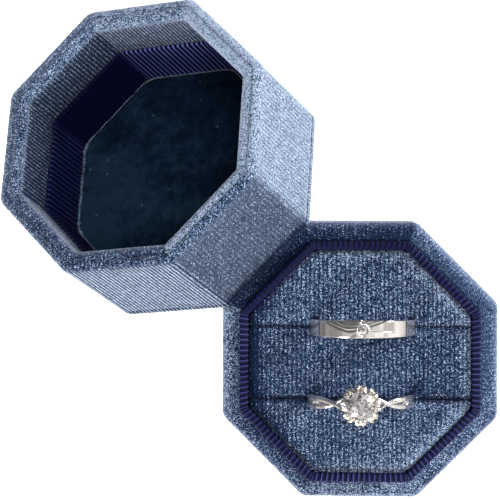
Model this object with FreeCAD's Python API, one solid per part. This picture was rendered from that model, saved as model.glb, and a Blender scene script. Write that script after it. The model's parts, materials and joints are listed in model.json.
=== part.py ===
"""Octagonal velvet ring box with a lift-off lid and two rings, in millimetres.

Frame: +Z is up and the origin is the centre of the base's underside, on the table. The base's slots run
along X. The lid lies mouth up beside the base: its closed end's far edge is on the table, and the closed end
leans on the base's rim.
"""
import FreeCAD, Part
import math
import os

V = FreeCAD.Vector

# ---- driving dimensions -------------------------------------------------------------------------
box_half = 27.0           # half the width of base and lid across flats
rim_height = 26.0         # base rim above the table
lid_depth = 28.1          # lid, from mouth to closed end
corner_radius = 2.6       # upright corners of the covered octagon
edge_radius = 2.2         # rim edge of the base and closed-end edge of the lid
velvet = 0.8              # velvet with its pile

# base
underside_sheet = 0.4
underside_half = 25.2
turn_under_half = 21.0    # where the velvet turned under the floor ends
floor_board = 2.0
wall_inner_half = 23.2
collar_outer_half = 23.13
collar_height = 9.5       # above the rim
collar_wall = 0.88
ribbon = 0.4
ribbon_tail_z = 18.0      # lower end of the ribbon's outer leg, inside the base
ribbon_inner_z = 22.0     # lower end of the ribbon's inner leg

# cushion
card_top_z = 21.0
card_thickness = 1.0
pad_half = 21.35
pad_top_z = 34.4
pad_corner = 4.5
pad_edge = 0.9            # rounding of the pads' top edges
pad_gap = 0.3             # between neighbouring pads
slot_back_y = 6.75
slot_front_y = -7.4
slot_floor_z = 23.2
slot_clearance = 0.3      # each side of a ring

# rings, both upright in the slots with their axes along Y
ring_centre_z = 34.0
ring_inner_r = 8.6
band_outer_r = 10.1
band_width = 3.5
band_x = 0.5
band_stone_r = 1.05
solitaire_outer_r = 10.25
solitaire_width = 2.5
solitaire_x = 0.15
stone_r = 2.9
head_outer_r = 3.8
claw_count = 8
head_base_above = 9.9     # above the ring's centre
girdle_above = 12.6

# lid
lid_wall_inner_half = 24.2
lip_half = 23.4           # inside of the velvet lip
lip_depth = 12.0
mouth_radius = 1.7
top_board = 1.4
liner_board = 1.0
liner_ribbon = 0.35
pad_card = 0.5
lid_pad_foam = 0.6
lid_pad_velvet = 0.5
lid_pad_half = 22.75
lid_pad_corner = 5.0
cord_r = 0.25

# how the lid lies
lid_tilt = 30.4           # mouth axis from upright
lid_yaw = 1.5
lid_sideways = -0.58      # offset along the rim edge that it leans on
lean_gap = 0.3            # between the lid's closed end and the base's rim, at the middle
table_gap = 0.02

# ---- values worked out from them ----------------------------------------------------------------
HALF_TURN = math.radians(22.5)
velvet_base_z = underside_sheet
board_base_z = underside_sheet + velvet
floor_top_z = board_base_z + floor_board
board_half = box_half - velvet
board_top_z = rim_height - velvet
collar_top_z = rim_height + collar_height
collar_board_half = collar_outer_half - ribbon
collar_inner_half = collar_board_half - collar_wall
collar_board_top = collar_top_z - ribbon
ribbon_inner_half = collar_inner_half - 0.37
cap_z = -lid_depth + edge_radius
top_board_z = -lid_depth + velvet
end_inside_z = top_board_z + top_board
liner_half = lid_wall_inner_half - liner_board
liner_face_half = liner_half - liner_ribbon
pad_face_z = end_inside_z + pad_card + lid_pad_foam + lid_pad_velvet


# ---- shapes -------------------------------------------------------------------------------------
def rounded_outline(corners, z):
    """Face at height z from (x, y, radius) corners in order, each corner an arc."""
    edges = []
    stops = []
    count = len(corners)
    for i in range(count):
        x, y, radius = corners[i]
        point = V(x, y, z)
        back = V(corners[i - 1][0], corners[i - 1][1], z) - point
        ahead = V(corners[(i + 1) % count][0], corners[(i + 1) % count][1], z) - point
        half_angle = back.getAngle(ahead) / 2
        reach = radius / math.tan(half_angle)
        back.normalize()
        ahead.normalize()
        middle = back + ahead
        middle.normalize()
        start = point + back * reach
        end = point + ahead * reach
        mid = point + middle * (radius / math.sin(half_angle) - radius)
        stops.append((start, mid, end))
    for i in range(count):
        start, mid, end = stops[i]
        edges.append(Part.Arc(start, mid, end).toShape())
        following = stops[(i + 1) % count][0]
        if end.distanceToPoint(following) > 1e-6:
            edges.append(Part.LineSegment(end, following).toShape())
    return Part.Face(Part.Wire(edges))


def octagon_corners(half, radius):
    near = half * math.tan(HALF_TURN)
    places = [(near, half), (-near, half), (-half, near), (-half, -near)]
    places += [(-near, -half), (near, -half), (half, -near), (half, near)]
    return [(x, y, radius) for x, y in places]


def octagon(half, z0, z1, radius):
    face = rounded_outline(octagon_corners(half, max(radius, 0.2)), z0)
    return face.extrude(V(0, 0, z1 - z0))


def inner_corner(half):
    """Corner radius of an octagon that runs parallel to the outside of the box."""
    return max(corner_radius - (box_half - half), 0.3)


def parallel_octagon(half, z0, z1):
    return octagon(half, z0, z1, inner_corner(half))


def tube(outer_half, inner_half, z0, z1):
    return parallel_octagon(outer_half, z0, z1).cut(parallel_octagon(inner_half, z0, z1))


def round_edges_at(solid, z, radius):
    edges = []
    for edge in solid.Edges:
        box = edge.BoundBox
        if abs(box.ZMin - z) < 1e-4 and abs(box.ZMax - z) < 1e-4:
            edges.append(edge)
    return solid.makeFillet(radius, edges)


def block(x0, x1, y0, y1, z0, z1):
    return Part.makeBox(x1 - x0, y1 - y0, z1 - z0, V(x0, y0, z0))


# ---- base ---------------------------------------------------------------------------------------
def base_parts():
    underside = octagon(underside_half, 0, underside_sheet, 2.0)
    floor = parallel_octagon(wall_inner_half, board_base_z, floor_top_z)
    wall = round_edges_at(parallel_octagon(board_half, board_base_z, board_top_z),
                          board_top_z, edge_radius - velvet)
    cover = parallel_octagon(box_half, velvet_base_z, rim_height)
    cover = round_edges_at(cover, rim_height, edge_radius)
    cover = round_edges_at(cover, velvet_base_z, 1.0)
    cover = cover.cut(wall)
    cover = cover.cut(parallel_octagon(wall_inner_half, floor_top_z, rim_height))
    cover = cover.cut(parallel_octagon(turn_under_half, velvet_base_z, board_base_z))
    wall = wall.cut(parallel_octagon(wall_inner_half, board_base_z, board_top_z))
    return {
        "base_underside": underside,
        "base_floor_board": floor,
        "base_wall_board": wall,
        "base_outer_velvet": cover,
    }


def collar_parts():
    board = tube(collar_board_half, collar_inner_half, floor_top_z, collar_board_top)
    outer_leg = tube(collar_outer_half, collar_board_half, ribbon_tail_z, collar_top_z)
    over = tube(collar_board_half, ribbon_inner_half, collar_board_top, collar_top_z)
    inner_leg = tube(collar_inner_half, ribbon_inner_half, ribbon_inner_z, collar_board_top)
    band = outer_leg.fuse([over, inner_leg]).removeSplitter()
    return {"collar_board": board, "collar_ribbon": band}


# ---- cushion ------------------------------------------------------------------------------------
def slot_space(x, y, ring_r, ring_width, inset):
    """The room that a ring needs in its slot, as large again as the inset each way."""
    reach = ring_r + 0.5 + inset
    across = ring_width / 2 + slot_clearance + inset
    return block(x - reach, x + reach, y - across, y + across, slot_floor_z - inset, pad_top_z + 5)


def pad_body(low_y, high_y, inset):
    """The slice of the cushion between two y values, drawn in by the inset except at the card."""
    top_z = pad_top_z - inset
    solid = octagon(pad_half - inset, card_top_z, top_z, pad_corner - inset)
    solid = round_edges_at(solid, top_z, pad_edge)
    solid = solid.common(block(-box_half, box_half, low_y + inset, high_y - inset, card_top_z, top_z))
    spaces = [
        slot_space(band_x, slot_back_y, band_outer_r, band_width, inset),
        slot_space(solitaire_x, slot_front_y, solitaire_outer_r, solitaire_width, inset),
    ]
    for space in spaces:
        if space.BoundBox.intersect(solid.BoundBox):
            solid = solid.cut(space)
    return solid


def cushion_parts():
    parts = {
        "base_filler_foam": parallel_octagon(collar_inner_half - 0.05, floor_top_z, card_top_z - card_thickness),
        "cushion_card": parallel_octagon(ribbon_inner_half - 0.08, card_top_z - card_thickness, card_top_z),
    }
    spans = {
        "back_pad": (slot_back_y + pad_gap / 2, box_half),
        "middle_pad": (slot_front_y + pad_gap / 2, slot_back_y - pad_gap / 2),
        "front_pad": (-box_half, slot_front_y - pad_gap / 2),
    }
    for name, (low_y, high_y) in spans.items():
        whole = pad_body(low_y, high_y, 0)
        core = pad_body(low_y, high_y, velvet)
        parts[name + "_foam"] = core
        parts[name + "_velvet"] = whole.cut(core)
    return parts


# ---- rings --------------------------------------------------------------------------------------
def hoop(x, y, outer_r, width, rounding):
    ring = Part.makeCylinder(outer_r, width, V(x, y - width / 2, ring_centre_z), V(0, 1, 0))
    ring = ring.makeFillet(rounding, [edge for edge in ring.Edges if edge.Length > 10])
    bore = Part.makeCylinder(ring_inner_r, width + 2, V(x, y - width / 2 - 1, ring_centre_z), V(0, 1, 0))
    return ring.cut(bore)


def brilliant(x, y, girdle_z, radius):
    """Cut stone: flat table, sloping crown, thin girdle and pointed pavilion."""
    profile = [
        V(0, 0, 0.32 * radius),
        V(0.56 * radius, 0, 0.32 * radius),
        V(radius, 0, 0.04 * radius),
        V(radius, 0, -0.04 * radius),
        V(0, 0, -0.86 * radius),
        V(0, 0, 0.32 * radius),
    ]
    stone = Part.Face(Part.makePolygon(profile)).revolve(V(0, 0, 0), V(0, 0, 1), 360)
    stone = Part.Solid(stone) if stone.ShapeType == "Shell" else stone
    stone.translate(V(x, y, girdle_z))
    return stone


def band_ring_parts():
    top = ring_centre_z + band_outer_r
    shank = hoop(band_x, slot_back_y, band_outer_r, band_width, 0.3)
    girdle_z = top + 0.05
    seat = Part.makeCone(0.25, band_stone_r + 0.05, 1.0, V(band_x, slot_back_y, girdle_z - 1.0))
    seat = seat.fuse(Part.makeCylinder(band_stone_r + 0.05, 1, V(band_x, slot_back_y, girdle_z)))
    beads = []
    for i in range(4):
        angle = math.radians(45 + 90 * i)
        reach = band_stone_r + 0.22
        place = V(band_x + reach * math.cos(angle), slot_back_y + reach * math.sin(angle), top - 0.25)
        beads.append(Part.makeCylinder(0.15, 0.7, place))
    return {
        "band_ring_shank": shank.cut(seat).cut(Part.makeCompound(beads)),
        "band_ring_stone": brilliant(band_x, slot_back_y, girdle_z, band_stone_r),
        "band_ring_beads": Part.makeCompound(beads),
    }


def solitaire_parts():
    x = solitaire_x
    y = slot_front_y
    girdle_z = ring_centre_z + girdle_above
    base_z = ring_centre_z + head_base_above
    shank = hoop(x, y, solitaire_outer_r, solitaire_width, 0.5)
    cup = Part.makeCone(1.25, stone_r + 0.1, girdle_z - 0.2 - base_z, V(x, y, base_z))
    basket = cup.cut(Part.makeCone(0.5, stone_r - 0.35, girdle_z - base_z - 0.5, V(x, y, base_z + 0.35)))
    stone = brilliant(x, y, girdle_z, stone_r)
    claws = []
    for i in range(claw_count):
        angle = math.radians((i + 0.5) * 360 / claw_count)
        outward = V(math.cos(angle), math.sin(angle), 0)
        foot = V(x, y, girdle_z - 1.3) + outward * (head_outer_r - 0.9)
        claws.append(Part.makeCone(0.28, 0.42, 2.0, foot, V(0, 0, 1)))
    claw_group = Part.makeCompound(claws)
    shank = shank.cut(cup)
    basket = basket.cut(stone).cut(claw_group)
    claw_group = Part.makeCompound([claw.cut(stone) for claw in claws])
    return {
        "solitaire_shank": shank,
        "solitaire_basket": basket,
        "solitaire_claws": claw_group,
        "solitaire_stone": stone,
    }


# ---- lid, mouth in the plane z = 0 and closed end below --------------------------------------------
def lid_shell_parts():
    body = round_edges_at(parallel_octagon(board_half, top_board_z, -velvet), top_board_z, edge_radius - velvet)
    body = round_edges_at(body, -velvet, mouth_radius - velvet)
    board = body.cut(parallel_octagon(lid_wall_inner_half, top_board_z, 0))
    top = parallel_octagon(lid_wall_inner_half, top_board_z, end_inside_z)
    outside = round_edges_at(parallel_octagon(box_half, -lid_depth, 0), -lid_depth, edge_radius)
    cap = outside.common(block(-box_half, box_half, -box_half, box_half, -lid_depth, cap_z)).cut(body)
    wall = tube(box_half, lip_half, cap_z, 0)
    wall = round_edges_at(wall, 0, mouth_radius).cut(board)
    wall = wall.cut(parallel_octagon(lid_wall_inner_half, cap_z, -lip_depth))
    return {
        "lid_wall_board": board,
        "lid_top_board": top,
        "lid_end_velvet": cap,
        "lid_wall_velvet": wall,
    }


def lid_liner_parts():
    board = tube(lid_wall_inner_half, liner_half, end_inside_z, -lip_depth)
    band = tube(liner_half, liner_face_half, end_inside_z + pad_card, -lip_depth)
    fold = tube(lip_half, liner_face_half, -lip_depth, -lip_depth + liner_ribbon)
    return {"lid_liner_board": board, "lid_liner_ribbon": band.fuse(fold).removeSplitter()}


def lid_pad_parts():
    card_z = end_inside_z + pad_card
    card = octagon(lid_pad_half, end_inside_z, card_z, lid_pad_corner)
    foam = octagon(lid_pad_half - lid_pad_velvet, card_z, card_z + lid_pad_foam, lid_pad_corner - lid_pad_velvet)
    cover = octagon(lid_pad_half, card_z, pad_face_z, lid_pad_corner).cut(foam)
    path_face = rounded_outline(octagon_corners(lid_pad_half - cord_r, lid_pad_corner - cord_r), pad_face_z + cord_r)
    path = path_face.OuterWire
    first = path.Edges[0]
    start = first.valueAt(first.FirstParameter)
    circle = Part.Wire(Part.makeCircle(cord_r, start, first.tangentAt(first.FirstParameter)))
    cord = path.makePipeShell([circle], True, True)
    return {"lid_pad_card": card, "lid_pad_foam": foam, "lid_pad_velvet": cover, "lid_pad_cord": cord}


def lid_placement():
    """The pose in which the closed end's far edge is on the table and the end leans on the rim."""
    tilt = math.radians(lid_tilt)
    sine = math.sin(tilt)
    cosine = math.cos(tilt)
    rim_centre = box_half - edge_radius
    level = rim_height - 2 * edge_radius + edge_radius * cosine
    foot = rim_centre + edge_radius * sine + (level * cosine + edge_radius + lean_gap) / sine
    mouth_away = foot - rim_centre * cosine + (lid_depth - edge_radius) * sine
    mouth_z = edge_radius + rim_centre * sine + (lid_depth - edge_radius) * cosine + table_gap
    away = V(-1, 1, 0).normalize()
    along = V(1, 1, 0).normalize()
    place = away * mouth_away + along * lid_sideways + V(0, 0, mouth_z)
    turn = FreeCAD.Rotation(V(0, 0, 1), lid_yaw).multiply(FreeCAD.Rotation(V(1, 1, 0), -lid_tilt))
    return FreeCAD.Placement(place, turn)


# ---- all parts ----------------------------------------------------------------------------------
def clean_solids(shape):
    """The shape's solids, as one solid or one compound of them."""
    solids = [solid for solid in shape.Solids if solid.Volume > 1e-4]
    if len(solids) == 1:
        return solids[0]
    return Part.makeCompound(solids)


def main():
    os.makedirs("parts", exist_ok=True)
    parts = {}
    parts.update(base_parts())
    parts.update(collar_parts())
    parts.update(cushion_parts())
    parts.update(band_ring_parts())
    parts.update(solitaire_parts())
    lid = {}
    lid.update(lid_shell_parts())
    lid.update(lid_liner_parts())
    lid.update(lid_pad_parts())
    placement = lid_placement()
    for name, shape in lid.items():
        shape.Placement = placement
        parts[name] = shape
    for name, shape in sorted(parts.items()):
        result = clean_solids(shape)
        result.exportStep(os.path.join("parts", name + ".step"))
        box = result.BoundBox
        print(f"{name:20s} solids {len(result.Solids)} valid {result.isValid()} volume {result.Volume:9.1f}"
              f"  z {box.ZMin:7.2f} {box.ZMax:7.2f}")
    print("lid placement", placement)


main()
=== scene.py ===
"""Looks of an octagonal velvet ring box: ribbed velvet, grosgrain ribbon, a slotted cushion and two rings.

Lengths in this file are in millimetres and are turned into metres where a mesh is made. Base, cushion and
rings are drawn in the part's frame. The lid is drawn in its own frame, with its mouth in the plane z = 0 and
its closed end below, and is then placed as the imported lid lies.
"""
import bmesh
import bpy
import json
import math
import numpy as np
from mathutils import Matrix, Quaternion, Vector


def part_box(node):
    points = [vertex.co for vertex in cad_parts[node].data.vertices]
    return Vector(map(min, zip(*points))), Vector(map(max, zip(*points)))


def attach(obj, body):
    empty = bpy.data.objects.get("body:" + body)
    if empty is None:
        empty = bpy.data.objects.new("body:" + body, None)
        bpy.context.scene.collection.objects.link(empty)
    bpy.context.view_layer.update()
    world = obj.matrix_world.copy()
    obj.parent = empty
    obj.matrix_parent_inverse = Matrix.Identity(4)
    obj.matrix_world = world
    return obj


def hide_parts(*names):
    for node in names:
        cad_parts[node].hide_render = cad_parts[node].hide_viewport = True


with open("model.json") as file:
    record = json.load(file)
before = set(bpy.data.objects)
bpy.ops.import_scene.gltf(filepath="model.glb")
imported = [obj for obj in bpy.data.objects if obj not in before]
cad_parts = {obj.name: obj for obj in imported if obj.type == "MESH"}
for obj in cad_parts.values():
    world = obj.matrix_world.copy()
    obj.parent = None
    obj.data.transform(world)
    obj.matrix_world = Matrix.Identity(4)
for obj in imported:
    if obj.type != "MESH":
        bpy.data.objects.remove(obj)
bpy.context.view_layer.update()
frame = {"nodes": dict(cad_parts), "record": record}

MM = 0.001

# ---- sizes from the frame ----


def box_mm(node):
    low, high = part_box(node)
    return np.array(low) / MM, np.array(high) / MM


BASE_LOW, BASE_HIGH = box_mm("base_outer_velvet")
COLLAR_HIGH = box_mm("collar_ribbon")[1]
PAD_HIGH = box_mm("middle_pad_velvet")[1]
BOX_HALF = BASE_HIGH[0]
RIM_Z = BASE_HIGH[2]
COLLAR_HALF = COLLAR_HIGH[0]
COLLAR_TOP = COLLAR_HIGH[2]
CARD_TOP = box_mm("cushion_card")[1][2]
PAD_HALF = PAD_HIGH[0]
PAD_TOP = PAD_HIGH[2]

# ---- covered octagon ----
CORNER = 2.6              # radius of the upright corners
EDGE = 2.2                # radius of the rim edge and of the boards at the lid's closed end
PILE = 0.8                # velvet with its pile
WALL_INNER = 23.2         # half width where the rim's velvet meets the collar
TURN_UNDER = 21.5         # half width where the velvet turned under the base ends
VELVET_RIBS_A_SIDE = 27
VELVET_STEPS_A_RIB = 6      # mesh columns across one rib
VELVET_RIB_DEPTH = 0.10
WALE = 0.84                # one row of tufts
TUFT_PITCH = 0.62          # tufts along a row
RIBBON_RIBS_A_SIDE = 19
RIBBON_STEPS_A_RIB = 8
RIBBON_RIB_DEPTH = 0.16
RIBBON = 0.4
MEAN_CREST = 0.6           # crest at which a ribbed surface has its nominal size

# ---- lid ----
LID_DEPTH = 28.1
LID_TILT = math.radians(30.4)
LID_YAW = math.radians(1.5)
LID_SIDEWAYS = -0.58
LEAN_GAP = 0.3
TABLE_GAP = 0.02
LIP_HALF = 23.4
LIP_DEPTH = 12.0
MOUTH_ROLL = 1.7
LID_END_EDGE = 1.0         # radius of the velvet at the closed end's edge
LINER_HALF = 22.85
PAD_FACE_Z = -24.3
LID_PAD_HALF = 22.75
LID_PAD_CORNER = 5.0
LID_PAD_BACK_Z = -25.4

# ---- rings ----
BAND = box_mm("band_ring_shank")
SOLO = box_mm("solitaire_shank")
RING_Z = 34.0
RING_BORE = 8.6

TURN = math.tan(math.radians(22.5))   # half a side of an octagon over its half width


# ---- noise ----
def lattice_hash(cells, seed):
    """A number from 0 to 1 for each whole-numbered cell, the same on every run."""
    h = (cells[..., 0] * 73856093) ^ (cells[..., 1] * 19349663) ^ (cells[..., 2] * 83492791)
    h = (h ^ (seed * 2654435761)) & 0xFFFFFFFF
    h = ((h ^ (h >> 16)) * 0x45D9F3B) & 0xFFFFFFFF
    h = ((h ^ (h >> 16)) * 0x45D9F3B) & 0xFFFFFFFF
    return ((h ^ (h >> 16)) & 0xFFFFFFFF) / 0xFFFFFFFF


def smooth_noise(points, cell, seed):
    """Noise from -1 to 1 that changes over about one cell, in millimetres."""
    scaled = points / cell
    corner = np.floor(scaled).astype(np.int64)
    part = scaled - corner
    part = part * part * (3 - 2 * part)
    total = np.zeros(len(points))
    for step in np.ndindex(2, 2, 2):
        weight = np.prod(np.where(step, part, 1 - part), axis=1)
        total += weight * lattice_hash(corner + step, seed)
    return total * 2 - 1


def smoothstep(low, high, x):
    t = np.clip((x - low) / (high - low), 0, 1)
    return t * t * (3 - 2 * t)


# ---- meshes ----
def make_piece(name, points, faces, body, material, replaces=(), attributes=None, smooth=True):
    """A mesh object from points in millimetres, which rides on a body and may stand for CAD nodes."""
    mesh = bpy.data.meshes.new(name)
    mesh.from_pydata((np.asarray(points) * MM).tolist(), [], [list(map(int, f)) for f in faces])
    mesh.update()
    for key, values in (attributes or {}).items():
        layer = mesh.attributes.new(key, "FLOAT", "POINT")
        layer.data.foreach_set("value", np.asarray(values, np.float32))
    mesh.polygons.foreach_set("use_smooth", [smooth] * len(mesh.polygons))
    mesh.materials.append(material)
    piece = bpy.data.objects.new(name, mesh)
    bpy.context.scene.collection.objects.link(piece)
    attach(piece, body)
    if replaces:
        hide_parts(*replaces)
    return piece


def grid_quads(rows, columns, close_rows=False, close_columns=False):
    """Quads of a grid of points numbered row by row."""
    row = np.arange(rows if close_rows else rows - 1)
    column = np.arange(columns if close_columns else columns - 1)
    row, column = np.meshgrid(row, column, indexing="ij")
    next_row = (row + 1) % rows
    next_column = (column + 1) % columns
    quads = np.stack([row * columns + column, row * columns + next_column,
                      next_row * columns + next_column, next_row * columns + column], axis=-1)
    return quads.reshape(-1, 4)


# ---- octagonal sweeps ----
def octagon_loop(columns):
    """Columns evenly spaced round the outside of the box: side, whether in a corner, and how far along."""
    flat = (BOX_HALF - CORNER) * TURN * 2
    arc = CORNER * math.pi / 4
    travel = np.arange(columns) * 8 * (flat + arc) / columns
    side = np.floor(travel / (flat + arc)).astype(int)
    rest = travel - side * (flat + arc)
    in_corner = rest >= flat
    part = np.where(in_corner, (rest - flat) / arc, rest / flat)
    return {"side": side, "corner": in_corner, "part": part, "turn": np.arange(columns) / columns * 8}


def octagon_points(loop, half, radius):
    """Points and outward directions round a rounded octagon of that half width."""
    angle = np.radians(loop["side"] * 45.0)
    out = np.stack([np.cos(angle), np.sin(angle)], axis=1)
    along = np.stack([-np.sin(angle), np.cos(angle)], axis=1)
    reach = (half - radius) * TURN
    flat = out * half + along * ((loop["part"] * 2 - 1) * reach)[:, None]
    bend = angle + np.radians(45.0) * loop["part"]
    spoke = np.stack([np.cos(bend), np.sin(bend)], axis=1)
    centre = out * (half - radius) + along * reach
    corner = centre + spoke * radius
    is_corner = loop["corner"][:, None]
    return np.where(is_corner, corner, flat), np.where(is_corner, spoke, out)


def arc_points(centre, radius, start, end, count):
    """Profile points on an arc, angles in degrees from the outward direction."""
    angles = np.radians(np.linspace(start, end, count))
    return [(centre[0] + radius * math.cos(a), centre[1] + radius * math.sin(a)) for a in angles]


def line_points(start, end, count):
    return [tuple(np.array(start) + (np.array(end) - np.array(start)) * k / count) for k in range(count)]


def profile_normals(profile):
    ahead = np.roll(profile, -1, axis=0) - profile
    behind = profile - np.roll(profile, 1, axis=0)
    ahead /= np.maximum(np.linalg.norm(ahead, axis=1), 1e-9)[:, None]
    behind /= np.maximum(np.linalg.norm(behind, axis=1), 1e-9)[:, None]
    tangent = ahead + behind
    tangent /= np.maximum(np.linalg.norm(tangent, axis=1), 1e-9)[:, None]
    return np.stack([tangent[:, 1], -tangent[:, 0]], axis=1)


def rib_crest(phase, fullness):
    """1 on a rib's crest and 0 in the groove between ribs."""
    return np.abs(np.sin(np.pi * phase)) ** fullness


def tuft_height(across, along, seed):
    """Rounded tufts along each row, about 0 to 1, with some missing their height."""
    cell = np.stack([np.floor(across), np.floor(along / TUFT_PITCH), np.zeros(len(across))], axis=1)
    luck = lattice_hash(cell.astype(np.int64), seed)
    across_part = np.sin(np.pi * (across - np.floor(across)))
    along_part = np.sin(np.pi * (along / TUFT_PITCH - np.floor(along / TUFT_PITCH)))
    return (across_part * along_part) ** 0.7 * (0.5 + 0.5 * luck)


def new_profile():
    """An empty profile, how far the ribs show on each of its points, and a way to add to both."""
    profile = []
    shown = []

    def add(points, show):
        profile.extend(points)
        shown.extend([show] * len(points))

    return profile, shown, add


def sweep(profile, shown, loop, ribs_a_side, depth, fullness, corner_of, noise, seed, painted_light_of=None,
          swell_of=None):
    """A closed profile carried round the octagon, with ribs across it where it is shown."""
    profile = np.asarray(profile, float)
    normals = profile_normals(profile)
    crest = rib_crest(loop["turn"] * ribs_a_side, fullness)
    rows = []
    crests = []
    along = []
    painted_lights = []
    lengths = np.r_[0, np.cumsum(np.linalg.norm(np.diff(profile, axis=0), axis=1))]
    for (half, z), normal, show, length in zip(profile, normals, shown, lengths):
        flat, out = octagon_points(loop, half, corner_of(half))
        points = np.c_[flat, np.full(len(flat), z)]
        direction = np.c_[out * normal[0], np.full(len(out), normal[1])]
        rough = noise * smooth_noise(points, 0.32, seed)
        rough += 0.6 * noise * smooth_noise(points, 1.6, seed + 1)
        row_crest = MEAN_CREST + (crest - MEAN_CREST) * show
        points = points + direction * (depth * (row_crest - MEAN_CREST) + rough * min(2 * show, 1))[:, None]
        if swell_of is not None:
            points = points + direction * swell_of(out, normal)[:, None]
        painted_lights.append(np.zeros(len(flat)) if painted_light_of is None else painted_light_of(out, normal, row_crest, half, z))
        rows.append(points)
        crests.append(row_crest)
        along.append(np.full(len(crest), length))
    quads = grid_quads(len(profile), len(crest), True, True)
    attributes = {
        "crest": np.concatenate(crests),
        "along": np.concatenate(along),
        "across": np.tile(loop["turn"] * ribs_a_side, len(profile)),
        "painted_light": np.concatenate(painted_lights),
    }
    return np.concatenate(rows), quads, attributes


def by_side(out, values):
    """A value for each of the eight sides, from +X round towards +Y, blended over the corners."""
    angle = np.degrees(np.arctan2(out[:, 1], out[:, 0])) % 360
    return np.interp(angle, np.arange(9) * 45, list(values) + [values[0]])


# Painted light and shade per side, standing in for how light falls on each side's nap: above 0 paler, below 0
# darker.
BASE_LEDGE_PAINTED_LIGHT = (0.27, 0.22, -0.36, -0.55, 0.30, 0.0, 0.52, 0.30)
BASE_EDGE_PAINTED_LIGHT = (0.26, 0.34, -0.20, 0.0, 0.46, 0.15, 0.30, 0.10)
BASE_SMOOTHED = (0.50, 0.50, 0.0, 0.0, -0.40, 0.0, -0.25, 0.0)   # how flat each side's tufts are brushed
LID_WALL_PAINTED_LIGHT = (0.50, 0.56, 0.36, 0.26, 0.12, 0.0, -0.14, -0.25)
LID_WALL_PAINTED_ROW_SHADE = (0.15, 0.1, 0.1, 0.1, 0.1, 0.1, 4.6, -0.10)
LID_FOLD_PAINTED_LIGHT = (1.0, 1.25, 0.80, 0.50, 0.40, 0.10, 0.0, 0.20)
LID_CREASE_PAINTED_SHADE = (0.34, 0.14, 0.16, 0.10, 0.05, 0.05, 0.10, 0.10)
LID_ROLL_PAINTED_LIGHT = (1.08, 1.22, 0.68, 0.40, 0.32, 0.10, 0.05, 0.90)
LID_LIP_PAINTED_SHADE = (-0.2, -0.2, -0.36, -0.66, -0.80, -0.26, -0.2, -0.2)
LID_END_PAINTED_SHADE = (0.0, 0.0, 0.0, 0.0, 0.0, 0.0, -0.25, -0.6)
PAD_EDGE_PAINTED_LIGHT = (0.46, 0.66, 0.45, -0.22, -1.35, -0.35, 0.60, 0.50)
COLLAR_SHINE = (0.0, -0.1, -0.45, -0.45, 0.0, -0.1, 0.0, 0.0)
LINER_SHINE = (0.2, 0.2, 1.25, -0.5, 0.05, 0.15, 0.0, 0.0)
LID_CREASE = 25.6           # half width at the crease between the wall's velvet and the lip's


def base_painted_light(out, normal, crest, half, z):
    """Painted light over the rim: a painted paler sheen band on the rounded edge, and painted shade by the
    ribbon.
    """
    edge = smoothstep(0.05, 0.7, normal[0])
    dark = 0.16 * smoothstep(WALL_INNER + 1.3, WALL_INNER + 0.2, half)
    return by_side(out, BASE_LEDGE_PAINTED_LIGHT) * (1 - edge) + by_side(out, BASE_EDGE_PAINTED_LIGHT) * edge - dark


def base_swell(out, normal):
    """The velvet stands a little prouder at the front than behind."""
    return -0.3 * out[:, 1] * smoothstep(0.2, 0.9, normal[0])


def lid_painted_light(out, normal, crest, half, z):
    """Painted light and shade of the wall, of the two folds at the mouth with a painted dark crease between
    them, of the closed end where it leans on the base, and of the inner lip.
    """
    outside = smoothstep(LID_CREASE - 0.1, LID_CREASE + 0.1, half)
    lip = (1 - outside) * smoothstep(-1.3, -2.6, z)
    roll = 1 - outside - lip
    crease = math.exp(-((half - LID_CREASE) / 0.15) ** 2) if z > -1.0 else 0.0
    fold = outside * smoothstep(-1.7, -0.6, z)
    level = (outside - fold) * (by_side(out, LID_WALL_PAINTED_LIGHT) + by_side(out, LID_WALL_PAINTED_ROW_SHADE) * (crest - 0.71))
    level += fold * by_side(out, LID_FOLD_PAINTED_LIGHT)
    level += by_side(out, LID_END_PAINTED_SHADE) * smoothstep(-24.2, -25.7, z) * outside
    level += roll * by_side(out, LID_ROLL_PAINTED_LIGHT) - crease * by_side(out, LID_CREASE_PAINTED_SHADE)
    return level + lip * (by_side(out, LID_LIP_PAINTED_SHADE) + 1.6 * (crest - 0.62))


def lid_swell(out, normal):
    """The lid's outer velvet stands a little proud all round."""
    return np.full(len(out), 0.12 * smoothstep(0.5, 1.0, normal[0]))


def outside_corner(half):
    return max(CORNER - (BOX_HALF - half), 0.35)


def collar_shine(out, normal, crest, half, z):
    return by_side(out, COLLAR_SHINE)


def liner_shine(out, normal, crest, half, z):
    return by_side(out, LINER_SHINE)


def ribbon_corner(half):
    return max(1.5 - (COLLAR_HALF - half) * 0.5, 0.4)


# ---- padded shapes ----
def octagon_depth(points, half, radius):
    """How far inside a rounded octagon each point lies; negative outside."""
    inner = half - radius
    angles = np.radians(np.arange(8) * 45.0)
    best = np.full(len(points), -1e9)
    nearest = np.full(len(points), 1e9)
    for angle in angles:
        out = np.array([math.cos(angle), math.sin(angle)])
        along = np.array([-out[1], out[0]])
        beyond = points @ out - inner
        best = np.maximum(best, beyond)
        slide = np.clip(points @ along, -inner * TURN, inner * TURN)
        foot = np.outer(np.full(len(points), inner), out) + np.outer(slide, along)
        nearest = np.minimum(nearest, np.linalg.norm(points - foot, axis=1))
    return radius - np.where(best > 0, nearest, best)


def octagon_width(y, half, radius):
    """Half the width in X of a rounded octagon at each y."""
    y = np.clip(y, -half + 1e-4, half - 1e-4)
    low = np.zeros(len(y))
    high = np.full(len(y), half)
    for _ in range(40):
        middle = (low + high) / 2
        inside = octagon_depth(np.c_[middle, y], half, radius) >= 0
        low = np.where(inside, middle, low)
        high = np.where(inside, high, middle)
    return (low + high) / 2


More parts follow.
